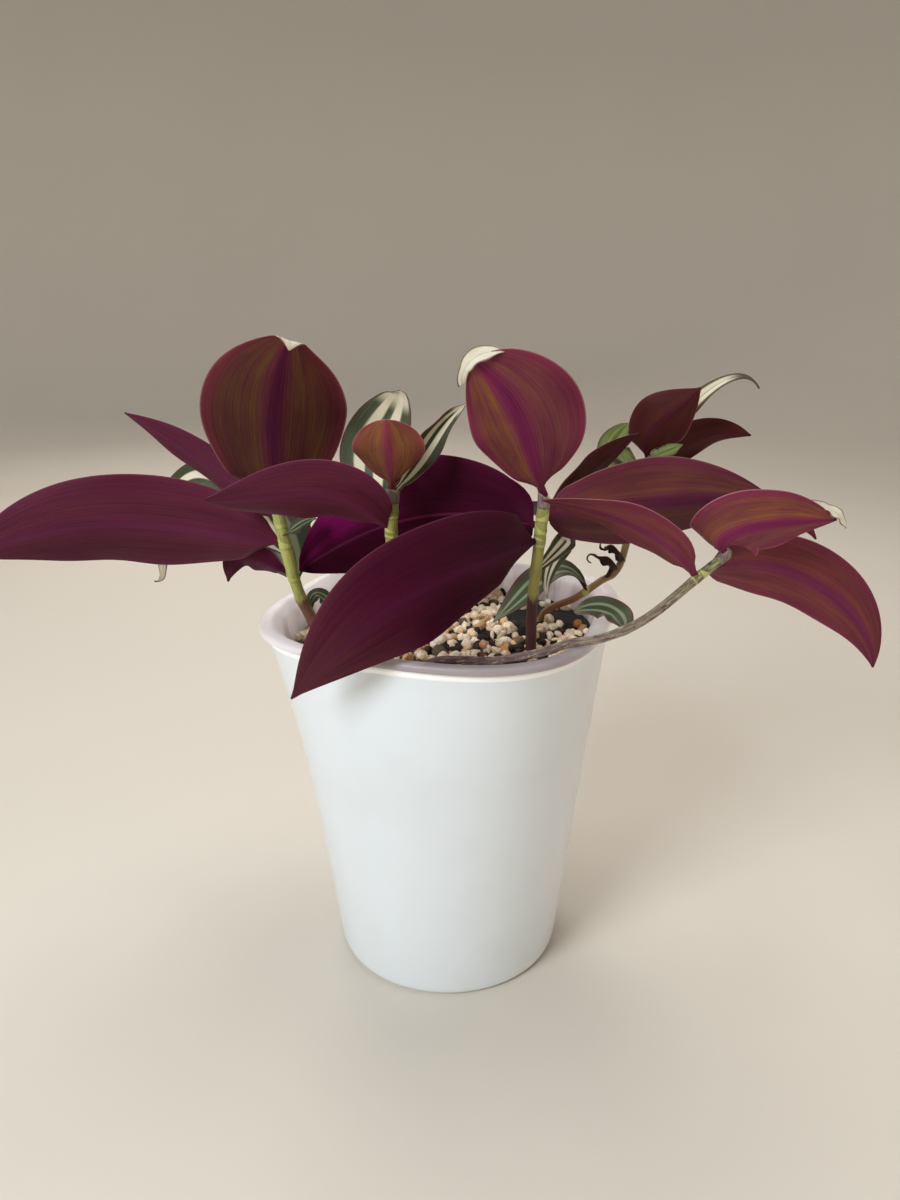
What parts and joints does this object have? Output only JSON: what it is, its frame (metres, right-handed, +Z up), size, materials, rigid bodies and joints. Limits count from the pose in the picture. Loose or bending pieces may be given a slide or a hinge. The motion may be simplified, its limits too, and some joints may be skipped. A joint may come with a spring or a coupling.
{
  "type": "potted tradescantia",
  "caption": "Potted tradescantia with striped purple and silver leaves on trailing stems, in a thin liner inside a tapered white plastic pot.",
  "frame": {"origin": "centre of the outer pot's flat base, on the surface it stands on", "axes": "+Z up, -Y towards the viewer of the picture, +X to that viewer's right"},
  "size_m": [0.2493, 0.1243, 0.1884],
  "materials": {
    "outer_pot": "glossy moulded white plastic",
    "inner_liner": "frosted, slightly see-through lilac plastic",
    "pumice_and_soil": "dry, rough cream pumice grains over dark soil",
    "stem": "smooth fleshy stem, green above and brownish purple below",
    "purple_leaf": "satin leaf, dark purple underside with reddish edges",
    "silver_leaf": "satin leaf, silvery upper side with green stripes"
  },
  "bodies": {
    "root": {"outer_pot": "outer_pot", "inner_liner": "inner_liner", "soil": "pumice_and_soil", "stem_left": "stem", "stem_centre": "stem", "stem_front": "stem", "stem_trailing": "stem", "stem_right": "stem", "stem_back": "stem", "leaf_left_long": "purple_leaf", "leaf_left_upright": "purple_leaf", "leaf_left_pointed": "purple_leaf", "leaf_left_low": "purple_leaf", "leaf_centre_long": "purple_leaf", "leaf_centre_young": "purple_leaf", "leaf_front_hanging": "purple_leaf", "leaf_front_behind": "purple_leaf", "leaf_front_upright": "purple_leaf", "leaf_front_right": "purple_leaf", "leaf_trailing_left": "purple_leaf", "leaf_trailing_top": "purple_leaf", "leaf_trailing_right": "purple_leaf", "leaf_right_upright": "purple_leaf", "leaf_right_flat": "purple_leaf", "leaf_back_young": "purple_leaf", "leaf_left_arching": "silver_leaf", "leaf_left_back": "silver_leaf", "leaf_centre_striped": "silver_leaf", "leaf_right_back": "silver_leaf", "leaf_right_inner": "silver_leaf", "leaf_back_left": "silver_leaf", "leaf_back_right": "silver_leaf"}
  },
  "joints": []
}
